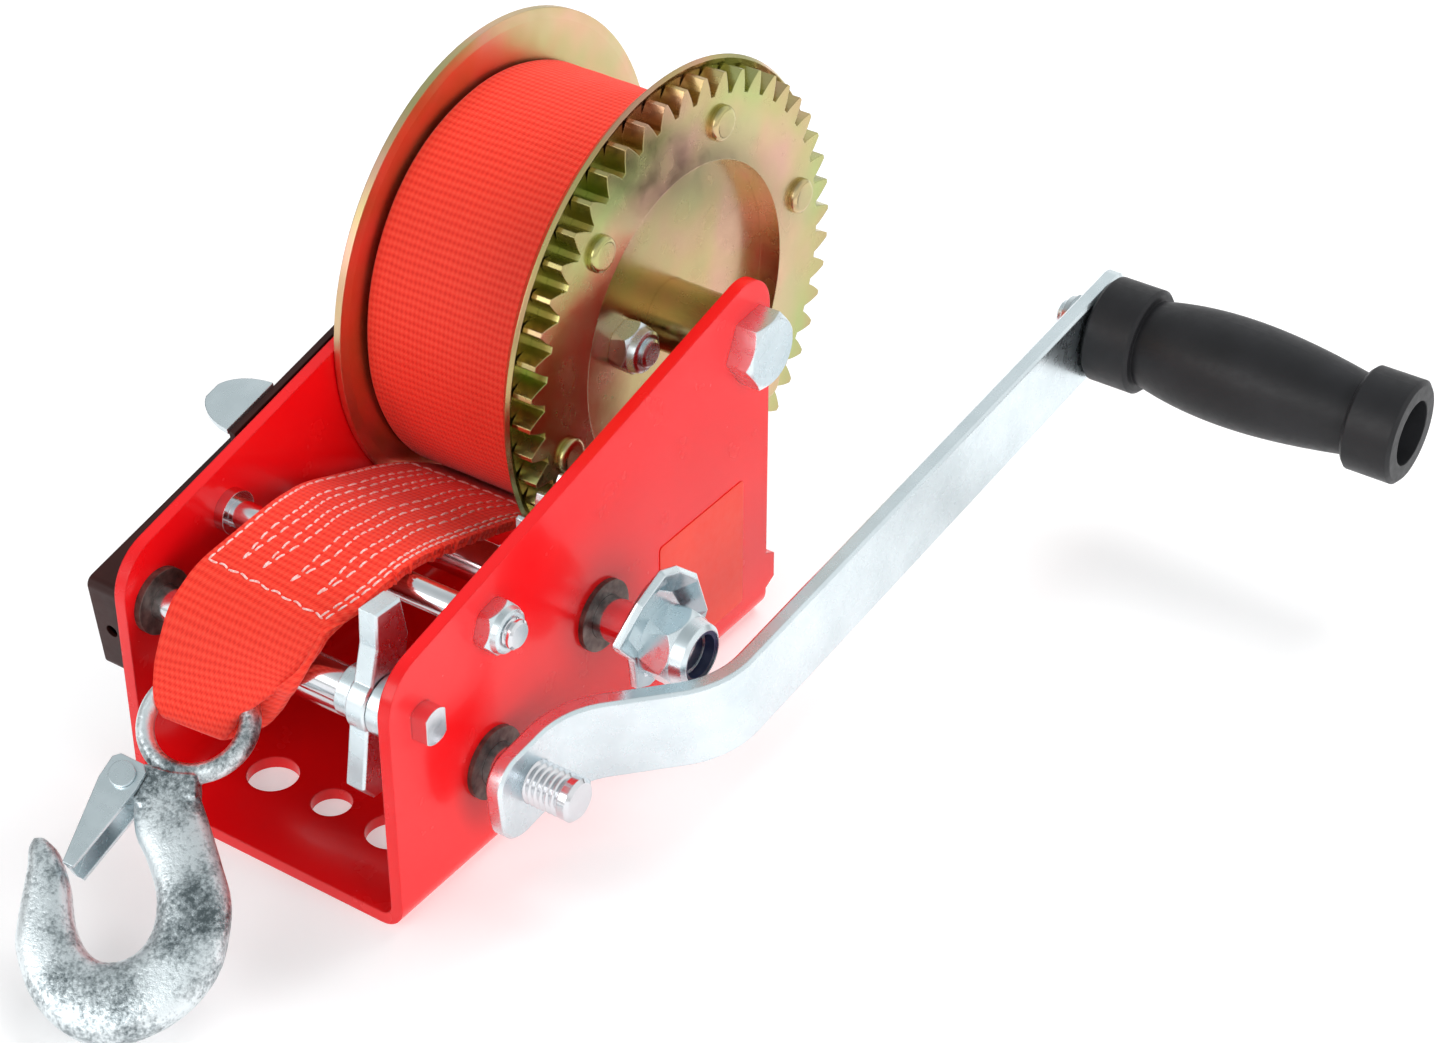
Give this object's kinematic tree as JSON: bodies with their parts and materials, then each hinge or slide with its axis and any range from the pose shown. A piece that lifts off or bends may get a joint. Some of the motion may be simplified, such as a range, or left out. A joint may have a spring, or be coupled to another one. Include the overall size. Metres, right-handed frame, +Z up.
{
  "type": "hand winch",
  "caption": "Hand-cranked two-speed strap winch: red U frame, geared drum with a webbing roll, two-way rocking pawl, cranked handle with spinning grip, and a latched safety hook.",
  "frame": {"origin": "underside of the base, centre of the four corner bolt holes", "axes": "+X out of the crank side along the shafts, -Y to the strap and hook side, +Z up"},
  "size_m": [0.2448, 0.3636, 0.1654],
  "materials": {
    "red_powder_coat": "glossy powder coat",
    "zinc_plate": "bright zinc plate",
    "forged_zinc": "zinc plate over a rough forging",
    "yellow_zinc": "yellow iridescent zinc plate",
    "bright_steel": "ground and polished",
    "webbing": "ribbed woven webbing",
    "black_cover": "satin black",
    "bearing_bush": "dark sintered bush",
    "grip_plastic": "satin moulded",
    "nylon": "satin",
    "label_film": "satin film"
  },
  "bodies": {
    "frame": {"frame": "red_powder_coat", "shaft_bushes": "bearing_bush", "tie_rod": "bright_steel", "tie_rod_nut": "zinc_plate", "pawl_shaft": "bright_steel", "pawl_shaft_bush": "bearing_bush", "pawl_collars": "zinc_plate", "axle_bolt": "zinc_plate", "axle_nut": "zinc_plate", "gear_guard": "black_cover", "guard_screws": "zinc_plate", "lever_pivot": "zinc_plate", "strap_tail": "webbing", "name_label": "label_film"},
    "drum": {"drum_barrel": "yellow_zinc", "left_flange": "yellow_zinc", "right_flange": "yellow_zinc", "drum_gear": "yellow_zinc", "gear_rivets": "yellow_zinc", "hub_tube": "yellow_zinc", "strap_anchor_bolt": "zinc_plate", "strap_anchor_nut": "zinc_plate", "strap_roll": "webbing"},
    "high_speed_shaft": {"high_shaft": "bright_steel", "high_pinion": "zinc_plate", "low_gear": "zinc_plate", "wing_plate": "zinc_plate", "lock_nut": "zinc_plate", "lock_nut_insert": "nylon"},
    "crank_shaft": {"low_shaft": "bright_steel", "low_pinion": "zinc_plate", "crank_arm": "zinc_plate", "grip_bolt": "zinc_plate", "grip_nut": "zinc_plate"},
    "grip": {"grip": "grip_plastic"},
    "pawl": {"pawl": "zinc_plate"},
    "lever": {"lever_plate": "black_cover", "lever_thumb_tab": "zinc_plate"},
    "hook": {"hook_body": "forged_zinc", "latch_rivet": "zinc_plate"},
    "latch": {"hook_latch": "zinc_plate"}
  },
  "joints": [
    {"name": "drum_spin", "type": "hinge", "parent": "frame", "child": "drum", "pos_m": [-0.011, 0.082, 0.094], "axis": [1, 0, 0], "continuous": true},
    {"name": "high_shaft_spin", "type": "hinge", "parent": "frame", "child": "high_speed_shaft", "pos_m": [0, 0.01454, 0.04677], "axis": [1, 0, 0], "continuous": true},
    {"name": "crank_spin", "type": "hinge", "parent": "frame", "child": "crank_shaft", "pos_m": [0, -0.0324, 0.02968], "axis": [1, 0, 0], "continuous": true},
    {"name": "grip_spin", "type": "hinge", "parent": "crank_shaft", "child": "grip", "pos_m": [0.135, 0.20032, 0.05414], "axis": [1, 0, 0], "continuous": true},
    {"name": "pawl_rock", "type": "hinge", "parent": "frame", "child": "pawl", "pos_m": [0.03, -0.0584, 0.0604], "axis": [1, 0, 0], "range_deg": [-6, 6]},
    {"name": "lever_lift", "type": "hinge", "parent": "frame", "child": "lever", "pos_m": [-0.0462, 0.04, 0.099], "axis": [1, 0, 0], "range_deg": [-25, 1.5]},
    {"name": "hook_swing", "type": "hinge", "parent": "frame", "child": "hook", "pos_m": [-0.0168, -0.06634, 0.05187], "axis": [0.9234, 0.3838, -0.0002], "range_deg": [-60, 30]},
    {"name": "latch_open", "type": "hinge", "parent": "hook", "child": "latch", "pos_m": [-0.01923, -0.09594, 0.0364], "axis": [-0.1942, 0.4668, -0.8628], "range_deg": [-26, 0], "stiffness_Nm_per_rad": 0.02, "springref_deg": 11.46}
  ],
  "couplings": [
    {"joint": "high_shaft_spin", "follows": "drum_spin", "ratio": -4.0833},
    {"joint": "crank_spin", "follows": "drum_spin", "ratio": 8.5069}
  ]
}
